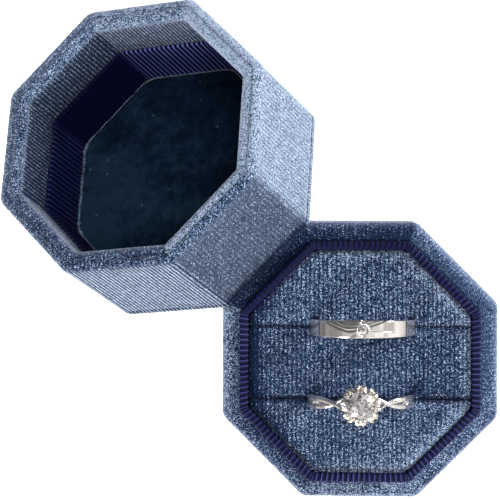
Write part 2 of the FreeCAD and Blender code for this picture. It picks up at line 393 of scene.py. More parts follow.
def rounded_drop(depth, radius):
    """How far a rounded edge falls at a distance in from the edge."""
    t = np.clip(1 - depth / radius, 0, 1)
    return radius * (1 - np.sqrt(1 - t * t))


def spread(count, ends):
    """Numbers from 0 to 1, packed closer at the ends as `ends` grows to 1."""
    t = np.linspace(0, 1, count)
    return (1 - ends) * t + ends * (1 - np.cos(np.pi * t)) / 2


def closed_pad(top, rows, columns, back_z, skirts=()):
    """A grid of top points closed by a skirt down to a flat back; skirts are grids of lower outlines."""
    first = np.arange(columns)
    right = np.arange(1, rows) * columns + columns - 1
    last = (rows - 1) * columns + np.arange(columns - 2, -1, -1)
    left = np.arange(rows - 2, 0, -1) * columns
    rim = np.concatenate([first, right, last, left])
    foot = (skirts[-1] if len(skirts) else top)[rim].copy()
    foot[:, 2] = back_z
    rings = [grid[rim] for grid in skirts] + [foot]
    count = len(rim)
    points = np.concatenate([top] + rings)
    faces = [list(q) for q in grid_quads(rows, columns)]
    upper = rim
    for ring in range(len(rings)):
        lower = len(top) + ring * count + np.arange(count)
        faces += np.stack([upper, lower, np.roll(lower, -1), np.roll(upper, -1)], axis=1).tolist()
        upper = lower
    faces.append(list(upper[::-1]))
    return points, faces


# ---- materials ----
def new_material(name):
    material = bpy.data.materials.new(name)
    material.use_nodes = True
    tree = material.node_tree
    tree.nodes.clear()
    output = tree.nodes.new("ShaderNodeOutputMaterial")
    shader = tree.nodes.new("ShaderNodeBsdfPrincipled")
    tree.links.new(shader.outputs[0], output.inputs[0])
    return material, tree, shader


def set_inputs(node, **values):
    for key, value in values.items():
        node.inputs[key.replace("_", " ")].default_value = value


def object_coordinates(tree):
    return tree.nodes.new("ShaderNodeTexCoord").outputs["Object"]


def noise_node(tree, coordinates, size_mm, detail=2.0, roughness=0.5):
    node = tree.nodes.new("ShaderNodeTexNoise")
    node.inputs["Scale"].default_value = 1 / (size_mm * MM)
    node.inputs["Detail"].default_value = detail
    node.inputs["Roughness"].default_value = roughness
    tree.links.new(coordinates, node.inputs["Vector"])
    return node.outputs["Fac"]


def math_node(tree, operation, first, second=0.0, third=0.0):
    node = tree.nodes.new("ShaderNodeMath")
    node.operation = operation
    for socket, value in zip(node.inputs, (first, second, third)):
        if isinstance(value, (int, float)):
            socket.default_value = value
        else:
            tree.links.new(value, socket)
    return node.outputs[0]


def ramp_node(tree, value, stops):
    node = tree.nodes.new("ShaderNodeValToRGB")
    elements = node.color_ramp.elements
    while len(elements) < len(stops):
        elements.new(0.5)
    for element, (position, colour) in zip(elements, stops):
        element.position = position
        element.color = (*colour, 1)
    tree.links.new(value, node.inputs[0])
    return node.outputs["Color"]


def mix_colours(tree, factor, first, second):
    node = tree.nodes.new("ShaderNodeMix")
    node.data_type = "RGBA"
    colour_sockets = [s for s in node.inputs if s.type == "RGBA"]
    factor_socket = [s for s in node.inputs if s.type == "VALUE"][0]
    pairs = ((factor_socket, factor), (colour_sockets[0], first), (colour_sockets[1], second))
    for socket, value in pairs:
        if isinstance(value, bpy.types.NodeSocket):
            tree.links.new(value, socket)
        elif isinstance(value, tuple):
            socket.default_value = (*value, 1)
        else:
            socket.default_value = value
    return [s for s in node.outputs if s.type == "RGBA"][0]


def cell_node(tree, coordinates, scale, randomness=1.0):
    """Voronoi cells: distance from the nearest cell's middle, and a chance from 0 to 1 for each cell."""
    node = tree.nodes.new("ShaderNodeTexVoronoi")
    set_inputs(node, Scale=scale, Randomness=randomness)
    tree.links.new(coordinates, node.inputs["Vector"])
    chance = tree.nodes.new("ShaderNodeSeparateColor")
    tree.links.new(node.outputs["Color"], chance.inputs[0])
    return node.outputs["Distance"], chance.outputs[0]


def attribute_node(tree, name):
    node = tree.nodes.new("ShaderNodeAttribute")
    node.attribute_name = name
    return node.outputs["Fac"]


def bump_node(tree, height, distance_mm, strength, shader):
    node = tree.nodes.new("ShaderNodeBump")
    node.inputs["Strength"].default_value = strength
    node.inputs["Distance"].default_value = distance_mm * MM
    tree.links.new(height, node.inputs["Height"])
    tree.links.new(node.outputs[0], shader.inputs["Normal"])


def tuft_cells(tree, along_pitch, rows_a_wale, randomness):
    """Tufts along the velvet's rows: how near each point is to a tuft's tip, and a chance per tuft."""
    cell = tree.nodes.new("ShaderNodeCombineXYZ")
    across = attribute_node(tree, "across")
    along = attribute_node(tree, "along")
    tree.links.new(math_node(tree, "MULTIPLY", across, rows_a_wale), cell.inputs[0])
    tree.links.new(math_node(tree, "DIVIDE", along, along_pitch), cell.inputs[1])
    distance, chance = cell_node(tree, cell.outputs[0], 1.0, randomness)
    tip = math_node(tree, "MULTIPLY_ADD", distance, -1.6, 0.75)
    return tip, math_node(tree, "SUBTRACT", chance, 0.5)


def velvet_material(name, stops, sheen, sheen_weight, glance_power, contrast):
    """Short pile in rows of tufts, dark between tufts and pale on their tips, with painted light and shade
    read from an attribute and a painted sheen at a glancing angle.
    """
    material, tree, shader = new_material(name)
    place = object_coordinates(tree)
    crest = attribute_node(tree, "crest")
    painted_light = attribute_node(tree, "painted_light")
    tip, luck = tuft_cells(tree, TUFT_PITCH, 1.0, 0.75)
    small_tip, small_luck = tuft_cells(tree, TUFT_PITCH * 0.52, 2.0, 1.0)
    fleck = math_node(tree, "MULTIPLY_ADD", noise_node(tree, place, 0.3, 2.0, 0.7), 2.0, -1.0)
    crush = math_node(tree, "MULTIPLY_ADD", noise_node(tree, place, 6.0, 2.0, 0.5), 2.0, -1.0)
    grain = math_node(tree, "MULTIPLY_ADD", noise_node(tree, place, 0.2, 0.0, 0.5), 2.0, -1.0)
    pile = math_node(tree, "MULTIPLY", tip, 0.30)
    for value, weight in ((small_tip, 0.42), (small_luck, 0.34), (luck, 0.08), (fleck, 0.4), (grain, 1.4)):
        pile = math_node(tree, "MULTIPLY_ADD", value, weight, pile)
    pile = math_node(tree, "MULTIPLY", pile, math_node(tree, "MULTIPLY_ADD", crest, 0.75, 0.55))
    standing = math_node(tree, "SUBTRACT", 1.0, attribute_node(tree, "smoothed"))
    pile = math_node(tree, "MULTIPLY", pile, standing)
    tone = math_node(tree, "MULTIPLY_ADD", pile, contrast, 0.24)
    tone = math_node(tree, "MULTIPLY_ADD", crest, 0.26, tone)
    tone = math_node(tree, "MULTIPLY_ADD", crush, 0.10, tone)
    tone = math_node(tree, "MULTIPLY_ADD", painted_light, 0.5, tone)
    colour = ramp_node(tree, tone, stops)
    # Painted sheen: the colour turns pale at a glancing angle, less where the painted shade is dark.
    glance = tree.nodes.new("ShaderNodeLayerWeight")
    glance.inputs["Blend"].default_value = 0.5
    painted_sheen = math_node(tree, "POWER", glance.outputs["Facing"], glance_power)
    flecked = math_node(tree, "MULTIPLY_ADD", pile, 0.5, 0.85)
    painted_sheen = math_node(tree, "MULTIPLY", painted_sheen, flecked)
    painted_sheen_gate = math_node(tree, "MULTIPLY_ADD", painted_light, 1.5, 0.85)
    painted_sheen_gate.node.use_clamp = True
    painted_sheen = math_node(tree, "MULTIPLY", painted_sheen, painted_sheen_gate)
    pale = mix_colours(tree, painted_sheen, colour, sheen)
    tree.links.new(pale, shader.inputs["Base Color"])
    set_inputs(shader, Roughness=0.9, Sheen_Weight=sheen_weight, Sheen_Roughness=0.3)
    shader.inputs["Specular IOR Level"].default_value = 0.1
    shader.inputs["Sheen Tint"].default_value = (*sheen, 1)
    bump_node(tree, pile, 0.13, 0.8, shader)
    return material


def dark_velvet_material(name):
    """Crushed midnight velvet: teal-black blotches where the pile lies differently, with specks of lint."""
    material, tree, shader = new_material(name)
    place = object_coordinates(tree)
    blotch = noise_node(tree, place, 8.0, 3.0, 0.6)
    crush = noise_node(tree, place, 1.6, 3.0, 0.65)
    fleck = noise_node(tree, place, 0.3, 2.0, 0.7)
    painted_light = attribute_node(tree, "painted_light")
    tone = math_node(tree, "MULTIPLY_ADD", blotch, 0.55, math_node(tree, "ADD", painted_light, 0.20))
    tone = math_node(tree, "MULTIPLY_ADD", crush, 0.40, tone)
    tone = math_node(tree, "MULTIPLY_ADD", fleck, 0.35, tone)
    colour = ramp_node(tree, tone, [(0.62, (0.0012, 0.0030, 0.008)), (0.82, (0.0040, 0.0125, 0.030)),
                                    (1.0, (0.014, 0.034, 0.065))])
    distance, chance = cell_node(tree, place, 1 / (1.9 * MM))
    near = math_node(tree, "LESS_THAN", distance, 0.10)
    speck = math_node(tree, "MULTIPLY", near, math_node(tree, "GREATER_THAN", chance, 0.80))
    colour = mix_colours(tree, speck, colour, (0.10, 0.15, 0.19))
    tree.links.new(colour, shader.inputs["Base Color"])
    set_inputs(shader, Roughness=0.85, Sheen_Weight=0.08, Sheen_Roughness=0.35)
    shader.inputs["Specular IOR Level"].default_value = 0.08
    shader.inputs["Sheen Tint"].default_value = (0.25, 0.4, 0.6, 1)
    bump_node(tree, math_node(tree, "ADD", crush, fleck), 0.2, 0.7, shader)
    return material


def ribbon_material(name):
    """Navy grosgrain: fine threads wound over each rib, and a painted shine on the crests, stronger on some
    sides than others.
    """
    material, tree, shader = new_material(name)
    place = object_coordinates(tree)
    crest = attribute_node(tree, "crest")
    thread = noise_node(tree, place, 0.12, 2.0, 0.6)
    drift = noise_node(tree, place, 9.0, 1.0, 0.5)
    shine = math_node(tree, "MULTIPLY_ADD", drift, 0.5, attribute_node(tree, "painted_light"))
    shine = math_node(tree, "ADD", shine, 0.72)
    ribs = math_node(tree, "MULTIPLY", math_node(tree, "POWER", crest, 6.0), shine)
    tone = math_node(tree, "MULTIPLY_ADD", thread, 0.19, math_node(tree, "MULTIPLY", ribs, 0.62))
    colour = ramp_node(tree, tone, [(0.06, (0.0016, 0.0022, 0.018)), (0.43, (0.0050, 0.0060, 0.044)),
                                    (0.59, (0.022, 0.028, 0.10)), (0.75, (0.055, 0.070, 0.22)),
                                    (1.0, (0.12, 0.15, 0.42))])
    tree.links.new(colour, shader.inputs["Base Color"])
    set_inputs(shader, Roughness=0.55)
    shader.inputs["Specular IOR Level"].default_value = 0.12
    bump_node(tree, thread, 0.08, 0.5, shader)
    return material


def metal_material(name, dark, pale):
    material, tree, shader = new_material(name)
    place = object_coordinates(tree)
    grain = noise_node(tree, place, 0.8, 4.0, 0.6)
    colour = ramp_node(tree, grain, [(0.3, dark), (0.7, pale)])
    tree.links.new(colour, shader.inputs["Base Color"])
    set_inputs(shader, Metallic=0.94, Roughness=0.12)
    bump_node(tree, grain, 0.01, 0.15, shader)
    return material


def stone_material(name):
    material, tree, shader = new_material(name)
    place = object_coordinates(tree)
    # Painted reflections: dark and pale cells stand in for what the facets reflect.
    _, chance = cell_node(tree, place, 1 / (0.42 * MM))
    colour = ramp_node(tree, chance, [(0.1, (0.10, 0.10, 0.11)), (0.45, (0.34, 0.33, 0.34)),
                                      (0.9, (0.72, 0.69, 0.68))])
    tree.links.new(colour, shader.inputs["Base Color"])
    set_inputs(shader, Roughness=0.0, IOR=2.2, Transmission_Weight=0.55)
    return material


def card_material(name, dark, pale, size_mm):
    material, tree, shader = new_material(name)
    place = object_coordinates(tree)
    fibres = noise_node(tree, place, size_mm, 5.0, 0.65)
    colour = ramp_node(tree, fibres, [(0.35, dark), (0.65, pale)])
    tree.links.new(colour, shader.inputs["Base Color"])
    set_inputs(shader, Roughness=0.85)
    bump_node(tree, fibres, 0.05, 0.4, shader)
    return material


VELVET = velvet_material("ring_box_velvet", [(0.15, (0.004, 0.011, 0.038)), (0.50, (0.030, 0.054, 0.120)),
                                             (0.80, (0.17, 0.24, 0.38)), (1.0, (0.42, 0.51, 0.66))],
                         (0.52, 0.60, 0.74), 0.08, 2.6, 0.72)
DARK_VELVET = dark_velvet_material("lid_pad_velvet_dark")
RIBBON_NAVY = ribbon_material("navy_grosgrain")
METAL = metal_material("polished_white_metal", (0.86, 0.835, 0.82), (0.92, 0.90, 0.885))
HEAD_METAL = metal_material("warm_white_metal", (0.84, 0.785, 0.72), (0.95, 0.92, 0.87))
STONE = stone_material("clear_stone")
THREAD = card_material("frayed_thread", (0.03, 0.05, 0.09), (0.30, 0.41, 0.56), 1.1)
BOARD = card_material("grey_board", (0.20, 0.18, 0.15), (0.34, 0.31, 0.27), 0.5)
FOAM = card_material("cream_foam", (0.55, 0.52, 0.44), (0.75, 0.72, 0.63), 0.3)
UNDERSIDE = card_material("underside_paper", (0.010, 0.016, 0.045), (0.022, 0.034, 0.085), 0.25)


# ---- base ----
def base_cover():
    top = RIM_Z
    half = BOX_HALF
    foot = BASE_LOW[2]
    edge = 1.0
    profile, shown, add = new_profile()
    add(line_points((TURN_UNDER, foot), (half - edge, foot), 6), 0.3)
    add(arc_points((half - edge, foot + edge), edge, -90, 0, 7), 1.0)
    add(line_points((half, foot + edge), (half, top - EDGE), 30)[1:], 1.0)
    add(arc_points((half - EDGE, top - EDGE), EDGE, 0, 90, 13), 0.5)
    add(line_points((half - EDGE, top), (WALL_INNER, top), 8)[1:], 0.3)
    add([(WALL_INNER, top - 0.1), (WALL_INNER, top - PILE + 0.05)], 0.0)
    add(line_points((WALL_INNER + 0.3, top - PILE), (half - EDGE, top - PILE), 2), 0.0)
    add(arc_points((half - EDGE, top - EDGE), EDGE - PILE, 90, 0, 4), 0.0)
    add([(half - PILE, foot + PILE), (TURN_UNDER, foot + PILE)], 0.0)
    loop = octagon_loop(8 * VELVET_RIBS_A_SIDE * VELVET_STEPS_A_RIB)
    points, faces, attributes = sweep(profile, shown, loop, VELVET_RIBS_A_SIDE, VELVET_RIB_DEPTH, 0.6,
                                      outside_corner, 0.05, 11, base_painted_light, base_swell)
    attributes["smoothed"] = by_side(points[:, :2], BASE_SMOOTHED)
    piece = make_piece("base_velvet_cover", points, faces, "base", VELVET, ["base_outer_velvet"], attributes)


def collar_band():
    top = COLLAR_TOP
    outer = COLLAR_HALF
    inner = COLLAR_HALF - 1.65
    bend = 0.55
    profile, shown, add = new_profile()
    add(line_points((outer, RIM_Z - 0.6), (outer, top - bend), 14), 1.0)
    add(arc_points((outer - bend, top - bend), bend, 0, 90, 7), 1.0)
    add(arc_points((inner + bend, top - bend), bend, 90, 180, 7), 1.0)
    add(line_points((inner, top - bend), (inner, top - 6), 8)[1:], 1.0)
    back = inner + RIBBON - 0.03
    add([(inner + 0.05, top - 6.2), (back, top - 6.2), (back, top - RIBBON)], 0.0)
    add([(outer - RIBBON, top - RIBBON), (outer - RIBBON, RIM_Z - 0.6)], 0.0)
    loop = octagon_loop(8 * RIBBON_RIBS_A_SIDE * RIBBON_STEPS_A_RIB)
    points, faces, attributes = sweep(profile, shown, loop, RIBBON_RIBS_A_SIDE, RIBBON_RIB_DEPTH, 0.8,
                                      ribbon_corner, 0.015, 21, collar_shine)
    piece = make_piece("collar_grosgrain", points, faces, "base", RIBBON_NAVY, ["collar_ribbon"], attributes)


# ---- cushion pads ----
SLOT_BACK = 6.75
SLOT_FRONT = -7.4
PAD_END = PAD_HALF + 0.12
PAD_CORNER = 4.6
PAD_EDGE = 1.3
SLOT_EDGE = 0.6
PAD_COLUMNS = 412
PAD_ROWS_A_MM = 8.5


def slot_opening(x, low, high, pinched):
    """How far the ring in a slot pushes its side out; a pinched slot closes inside the ring."""
    centre = (low[0] + high[0]) / 2
    reach = (high[0] - low[0]) / 2
    half_width = (high[1] - low[1]) / 2
    beside = np.abs(x - centre)
    opening = (half_width - 0.10) * smoothstep(reach + 0.10, reach - 0.12, beside)
    if pinched:
        opening *= 0.02 + 0.98 * smoothstep(RING_BORE - 0.6, RING_BORE + 0.1, beside)
    return opening


def pad_outline(low_line, high_line, low_ring, high_ring, u, v, pinched):
    """Places in plan of a pad's grid: u across and v from its front to its back."""
    y_straight = low_line + (high_line - low_line) * v
    width = octagon_width(y_straight, PAD_END, PAD_CORNER)
    notch = 0.7
    if low_ring:
        width = width - rounded_drop(y_straight - low_line, notch)
    if high_ring:
        width = width - rounded_drop(high_line - y_straight, notch)
    x = width[:, None] * u[None, :]
    low_edge = np.full_like(x, low_line)
    high_edge = np.full_like(x, high_line)
    if low_ring:
        low_edge = low_edge + slot_opening(x, *low_ring, pinched)
    if high_ring:
        high_edge = high_edge - slot_opening(x, *high_ring, pinched)
    y = low_edge + (high_edge - low_edge) * v[:, None]
    return x, y, low_edge, high_edge


def slot_edge_drop(to_slot, opening):
    """The slot's edge is rounded where the slot is shut, and stands up against a ring where it is open."""
    return rounded_drop(to_slot, SLOT_EDGE) * (1 - 0.8 * np.clip(opening, 0, 1))


def cushion_pad(name, low_y, high_y, low_ring, high_ring, seed, front_slope, painted_light_left_right):
    """A velvet-covered pad between slots or a slot and the collar, with painted light that runs darker or
    paler from left to right.
    """
    low_line = -PAD_END if low_ring is None else low_y - 0.02
    high_line = PAD_END if high_ring is None else high_y + 0.02
    rows = int((high_line - low_line) * PAD_ROWS_A_MM)
    u = np.linspace(-1, 1, PAD_COLUMNS)
    v = spread(rows, 0.35)
    x, y, low_edge, high_edge = pad_outline(low_line, high_line, low_ring, high_ring, u, v, True)
    flat = np.c_[x.ravel(), y.ravel()]
    inside = octagon_depth(flat, PAD_END, PAD_CORNER)
    z = PAD_TOP - rounded_drop(inside, PAD_EDGE)
    if low_ring:
        to_slot = (y - low_edge).ravel()
        z = z - slot_edge_drop(to_slot, (low_edge - low_line).ravel()) - 0.3 * np.exp(-(to_slot / 1.5) ** 2)
        z = z - front_slope * np.exp(-(to_slot / 3.0) ** 2)
    if high_ring:
        to_slot = (high_edge - y).ravel()
        z = z - slot_edge_drop(to_slot, (high_line - high_edge).ravel())
        z = z - 0.25 * np.exp(-(to_slot / 1.5) ** 2)
    z = z + 0.35 * np.repeat(1 - (2 * v - 1) ** 2, PAD_COLUMNS)
    points = np.c_[flat, z]
    across = flat[:, 0] / WALE + 100.5
    across = across + 0.12 * smooth_noise(points, 2.0, seed + 5)
    along = flat[:, 1] + 60
    crest = rib_crest(across, 0.7)
    tufts = tuft_height(across, along, seed)
    points[:, 2] += 0.10 * (crest - MEAN_CREST) + 0.12 * (tufts - 0.4)
    points[:, 2] += 0.06 * smooth_noise(points, 0.2, seed)
    points[:, 2] += 0.10 * smooth_noise(points, 3.0, seed + 1)
    radial = flat / np.maximum(np.linalg.norm(flat, axis=1), 1e-6)[:, None]
    near_edge = np.exp(-(inside / 0.7) ** 2)
    ragged = 0.42 * (tufts - 0.35) + 0.12 * smooth_noise(points, 0.3, seed + 2)
    points[:, :2] += radial * (ragged * near_edge)[:, None]
    slot_fray = 0.16 * smooth_noise(points, 0.35, seed + 3)
    if low_ring:
        points[:, 1] += slot_fray * np.exp(-((y - low_edge).ravel() / 0.5) ** 2)
    if high_ring:
        points[:, 1] += slot_fray * np.exp(-((high_edge - y).ravel() / 0.5) ** 2)
    # Painted light: paler or darker pad edges by side, painted shade along the slots, and a left-to-right
    # painted tone.
    painted_light = by_side(radial, PAD_EDGE_PAINTED_LIGHT) * smoothstep(3.4, 0.5, inside)
    painted_light += np.interp(flat[:, 0], (-PAD_HALF, PAD_HALF), painted_light_left_right)
    if low_ring:
        to_slot = (y - low_edge).ravel()
        painted_light -= 0.75 * np.exp(-(to_slot / 0.4) ** 2) + 0.35 * front_slope * np.exp(-(to_slot / 2.6) ** 2)
    if high_ring:
        painted_light -= 0.75 * np.exp(-((high_edge - y).ravel() / 0.4) ** 2)
    painted_light += 0.06 * smooth_noise(points, 7.0, seed + 4)
    open_x, open_y, _, _ = pad_outline(low_line, high_line, low_ring, high_ring, u, v, False)
    pinched = np.c_[flat, np.full(len(flat), PAD_TOP - 1.7)]
    opened = np.c_[open_x.ravel(), open_y.ravel(), np.full(len(flat), PAD_TOP - 2.6)]
    closed, faces = closed_pad(points, rows, PAD_COLUMNS, CARD_TOP + 0.05, (pinched, opened))
    extra = len(closed) - len(points)
    # The pad's sides and back get -1: painted shade, with no painted sheen.
    attributes = {
        "crest": np.r_[crest, np.full(extra, 0.5)],
        "across": np.r_[across, np.full(extra, 0.5)],
        "along": np.r_[along, np.full(extra, 0.5)],
        "painted_light": np.r_[painted_light, np.full(extra, -1.0)],
    }
    node = name.replace("cushion_", "") + "_velvet"
    piece = make_piece(name, closed, faces, "base", VELVET, [node], attributes)


# ---- lid ----
def lid_matrix():
    """Turn and place of the lid: closed end's far edge on the table, the end leaning on the base's rim."""
    sine = math.sin(LID_TILT)
    cosine = math.cos(LID_TILT)
    rim_centre = BOX_HALF - EDGE
    level = RIM_Z - 2 * EDGE + EDGE * cosine
    foot = rim_centre + EDGE * sine + (level * cosine + EDGE + LEAN_GAP) / sine
    mouth_away = foot - rim_centre * cosine + (LID_DEPTH - EDGE) * sine
    mouth_z = EDGE + rim_centre * sine + (LID_DEPTH - EDGE) * cosine + TABLE_GAP
    away = np.array([-1, 1, 0]) / math.sqrt(2)
    along = np.array([1, 1, 0]) / math.sqrt(2)
    place = away * mouth_away + along * LID_SIDEWAYS + np.array([0, 0, mouth_z])
    turn = Quaternion((0, 0, 1), LID_YAW) @ Quaternion((1, 1, 0), -LID_TILT)
    return np.array(turn.to_matrix()), place


LID_TURN, LID_PLACE = lid_matrix()


def place_lid(points):
    return np.asarray(points) @ LID_TURN.T + LID_PLACE


def lid_cover():
    half = BOX_HALF
    seam = -LID_DEPTH + EDGE
    profile, shown, add = new_profile()
    fold = 1.25
    inner_fold = 1.5
    lip = LIP_HALF - 0.25
    add(line_points((half, seam + 0.02), (half, -3.4), 30), 1.0)
    add(line_points((half, -3.4), (half + 0.1, -fold), 6), 0.8)
    add(arc_points((half + 0.1 - fold, -fold), fold, 0, 96, 12), 0.5)
    add([(LID_CREASE + 0.05, -0.16), (LID_CREASE - 0.02, -0.34), (LID_CREASE - 0.12, -0.18)], 0.1)
    add(arc_points((lip + inner_fold, -inner_fold), inner_fold, 60, 180, 16), 0.35)
    add(line_points((lip, -inner_fold), (LIP_HALF, -LIP_DEPTH), 14)[1:], 1.0)
    add([(LIP_HALF + 0.1, -LIP_DEPTH), (LIP_HALF + PILE - 0.05, -LIP_DEPTH)], 0.0)
    add([(LIP_HALF + PILE - 0.05, -PILE), (half - PILE, -MOUTH_ROLL), (half - PILE, seam + 0.02)], 0.0)
    loop = octagon_loop(8 * VELVET_RIBS_A_SIDE * VELVET_STEPS_A_RIB)
    points, faces, attributes = sweep(profile, shown, loop, VELVET_RIBS_A_SIDE, VELVET_RIB_DEPTH, 0.6,
                                      outside_corner, 0.05, 31, lid_painted_light, lid_swell)
    piece = make_piece("lid_velvet_cover", place_lid(points), faces, "lid", VELVET,
                       ["lid_wall_velvet"], attributes)


def lid_end():
    """The velvet pan over the closed end: rows run straight across and join the wall's at the edge."""
    loop = octagon_loop(8 * VELVET_RIBS_A_SIDE * VELVET_STEPS_A_RIB)
    wall_rows = loop["turn"] * VELVET_RIBS_A_SIDE
    swell = 0.14
    edge = LID_END_EDGE
    places = [(-swell, 0.0), (-swell, 0.45), (-swell, 0.9)]
    places += [(edge * (1 - math.cos(a)) - swell, EDGE - edge + edge * math.sin(a))
               for a in np.linspace(0, math.pi / 2, 11)[1:]]
    places += [(step, EDGE) for step in np.linspace(edge, BOX_HALF - 0.4, 66)[1:]]
    rows = []
    crests = []
    acrosses = []
    alongs = []
    painted_lights = []
    for step, fall in places:
        half = BOX_HALF - step
        flat, out = octagon_points(loop, half, max(CORNER - step * 0.6, 0.3))
        points = np.c_[flat, np.full(len(flat), -LID_DEPTH + EDGE - fall)]
        on_wall = step < edge * 0.6
        across = wall_rows if on_wall else flat[:, 0] / WALE + 100.5
        crest = rib_crest(across, 0.6)
        tilt = np.clip((edge - step) / edge, 0, 1)
        direction = np.c_[out * tilt, np.full(len(out), -math.sqrt(1 - tilt ** 2))]
        rough = 0.05 * smooth_noise(points, 0.32, 41)
        rows.append(points + direction * (VELVET_RIB_DEPTH * (crest - MEAN_CREST) + rough)[:, None])
        crests.append(crest)
        acrosses.append(across)
        alongs.append(np.full(len(flat), step + fall - EDGE) if on_wall else flat[:, 1] + 60)
        # Painted light and shade at the closed end's edge, as on the wall, darker where the end leans on the
        # base.
        level = by_side(out, LID_WALL_PAINTED_LIGHT) + by_side(out, LID_WALL_PAINTED_ROW_SHADE) * (crest - 0.71)
        level += by_side(out, LID_END_PAINTED_SHADE)
        painted_lights.append(level if step < edge else np.zeros(len(flat)))
    inner = rows[-1] + np.array([0, 0, 0.8])
    flat, _ = octagon_points(loop, BOX_HALF - PILE, CORNER - PILE)
    brim = np.c_[flat, np.full(len(flat), -LID_DEPTH + EDGE)]
    rows += [inner, brim]
    count = len(loop["turn"])
    points = np.concatenate(rows)
    faces = [list(q) for q in grid_quads(len(rows), count, True, True)]
    start = (len(places) - 1) * count
    centre = len(points)
    points = np.concatenate([points, [rows[-3].mean(axis=0)], [inner.mean(axis=0)]])
    faces = [f for f in faces if not (f[0] >= start and f[0] < start + count)]
    for k in range(count):
        nxt = (k + 1) % count
        faces.append([start + k, start + nxt, centre])
        faces.append([start + count + nxt, start + count + k, centre + 1])
    extra = np.full(2 * count + 2, 0.5)
    attributes = {
        "crest": np.r_[np.concatenate(crests), extra],
        "across": np.r_[np.concatenate(acrosses), extra],
        "along": np.r_[np.concatenate(alongs), extra],
        "painted_light": np.r_[np.concatenate(painted_lights), extra * 0],
    }
    points = place_lid(points)
    points[:, 2] = np.maximum(points[:, 2], TABLE_GAP)
    piece = make_piece("lid_end_panel", points, faces, "lid", VELVET, ["lid_end_velvet"], attributes)


def lid_liner():
    top = -LIP_DEPTH + 0.35
    face = LINER_HALF
    profile, shown, add = new_profile()
    bend = 0.45
    add([(LIP_HALF - 0.05, -LIP_DEPTH + 0.02)], 0.0)
    add(line_points((LIP_HALF - 0.05, top - 0.1), (face + bend, top), 2), 0.5)
    add(arc_points((face + bend, top - bend), bend, 90, 180, 6), 1.0)
    add(line_points((face, top - bend), (face, LID_PAD_BACK_Z), 16)[1:], 1.0)
    add([(face + 0.3, LID_PAD_BACK_Z), (face + 0.3, -LIP_DEPTH + 0.02)], 0.0)
    loop = octagon_loop(8 * RIBBON_RIBS_A_SIDE * RIBBON_STEPS_A_RIB)
    points, faces, attributes = sweep(profile, shown, loop, RIBBON_RIBS_A_SIDE, RIBBON_RIB_DEPTH, 0.8,
                                      ribbon_corner, 0.015, 51, liner_shine)
    piece = make_piece("lid_grosgrain", place_lid(points), faces, "lid", RIBBON_NAVY,
                       ["lid_liner_ribbon"], attributes)


def lid_pad():
    columns = 260
    rows = 150
    v = spread(rows, 0.5)
    end = LID_PAD_HALF
    y = end * (2 * v - 1)
    width = octagon_width(y, end, LID_PAD_CORNER)
    x = width[:, None] * np.linspace(-1, 1, columns)[None, :]
    flat = np.c_[x.ravel(), np.repeat(y, columns)]
    depth = octagon_depth(flat, end, LID_PAD_CORNER)
    z = PAD_FACE_Z - rounded_drop(depth, 0.7) + 0.35 * smoothstep(0, 14, depth)
    points = np.c_[flat, z]
    fine = 0.05 * smooth_noise(points, 0.4, 61)
    points[:, 2] += fine + 0.1 * smooth_noise(points, 3.0, 62)
    closed, faces = closed_pad(points, rows, columns, LID_PAD_BACK_Z)
    extra = len(closed) - len(points)
    # Painted light across the pad: paler towards its -X, -Y corner and darker towards the opposite one.
    attributes = {
        "crest": np.full(len(closed), 0.5),
        "across": np.r_[flat[:, 0] / 0.45, np.full(extra, 0.5)],
        "along": np.r_[flat[:, 1], np.full(extra, 0.5)],
        "painted_light": np.r_[0.10 * (-flat[:, 0] - flat[:, 1]) / end, np.full(extra, 0.0)],
    }
    piece = make_piece("lid_pad", place_lid(closed), faces, "lid", DARK_VELVET,
                       ["lid_pad_velvet"], attributes)


